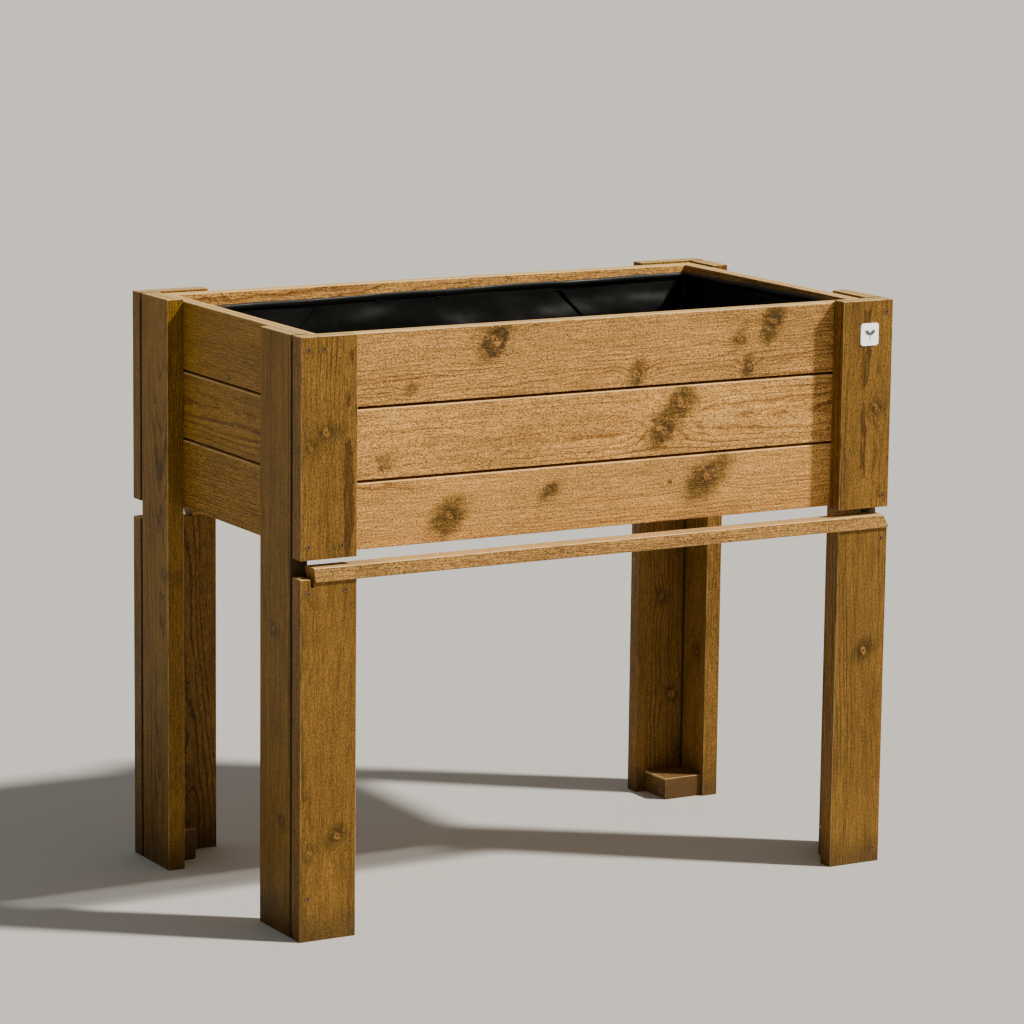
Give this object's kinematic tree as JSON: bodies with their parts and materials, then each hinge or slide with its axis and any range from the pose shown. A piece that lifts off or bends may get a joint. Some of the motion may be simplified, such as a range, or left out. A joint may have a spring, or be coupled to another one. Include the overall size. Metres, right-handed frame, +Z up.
{
  "type": "raised planter",
  "caption": "Raised wooden planter: a plank-sided box with a black liner on tall L-shaped board legs, with a thin rail under each long side and a slatted floor.",
  "frame": {"origin": "on the ground under the middle of the planter", "axes": "+X to the right along the long front, +Y to the back, +Z up"},
  "size_m": [0.915, 0.526, 0.8],
  "materials": {
    "leg_wood": "brown stained softwood, satin",
    "plank_wood": "tan stained softwood with knots, satin",
    "rail_wood": "tan stained softwood batten",
    "block_wood": "stained softwood offcut",
    "inner_wood": "sawn softwood, unpainted",
    "zinc_steel": "dull zinc plated",
    "staple_wire": "black coated wire",
    "liner_sheet": "black woven plastic sheet",
    "label_white": "white enamelled plate",
    "label_grey": "raised grey mark"
  },
  "bodies": {
    "root": {"back_floor_cleat": "inner_wood", "back_plank_bottom": "plank_wood", "back_plank_middle": "plank_wood", "back_plank_top": "plank_wood", "back_rail": "rail_wood", "end_plank_screws": "zinc_steel", "floor_cleat_screws": "zinc_steel", "floor_slat_1": "inner_wood", "floor_slat_2": "inner_wood", "floor_slat_3": "inner_wood", "floor_slat_4": "inner_wood", "floor_slat_5": "inner_wood", "floor_slat_6": "inner_wood", "floor_slat_7": "inner_wood", "floor_slat_8": "inner_wood", "floor_slat_screws": "zinc_steel", "front_floor_cleat": "inner_wood", "front_plank_bottom": "plank_wood", "front_plank_middle": "plank_wood", "front_plank_top": "plank_wood", "front_rail": "rail_wood", "label_emblem": "label_grey", "label_plate": "label_white", "left_plank_bottom": "plank_wood", "left_plank_middle": "plank_wood", "left_plank_top": "plank_wood", "leg_back_left_end_board": "leg_wood", "leg_back_left_foot_block": "block_wood", "leg_back_left_lower_board": "leg_wood", "leg_back_left_upper_board": "leg_wood", "leg_back_right_end_board": "leg_wood", "leg_back_right_foot_block": "block_wood", "leg_back_right_knee_block": "block_wood", "leg_back_right_lower_board": "leg_wood", "leg_back_right_upper_board": "leg_wood", "leg_block_screws": "zinc_steel", "leg_front_left_end_board": "leg_wood", "leg_front_left_foot_block": "block_wood", "leg_front_left_knee_block": "block_wood", "leg_front_left_lower_board": "leg_wood", "leg_front_left_upper_board": "leg_wood", "leg_front_right_end_board": "leg_wood", "leg_front_right_foot_block": "block_wood", "leg_front_right_lower_board": "leg_wood", "leg_front_right_upper_board": "leg_wood", "liner": "liner_sheet", "liner_staples": "staple_wire", "long_plank_screws": "zinc_steel", "lower_leg_board_screws": "zinc_steel", "rail_screws": "zinc_steel", "right_plank_bottom": "plank_wood", "right_plank_middle": "plank_wood", "right_plank_top": "plank_wood", "upper_leg_board_screws": "zinc_steel"}
  },
  "joints": []
}
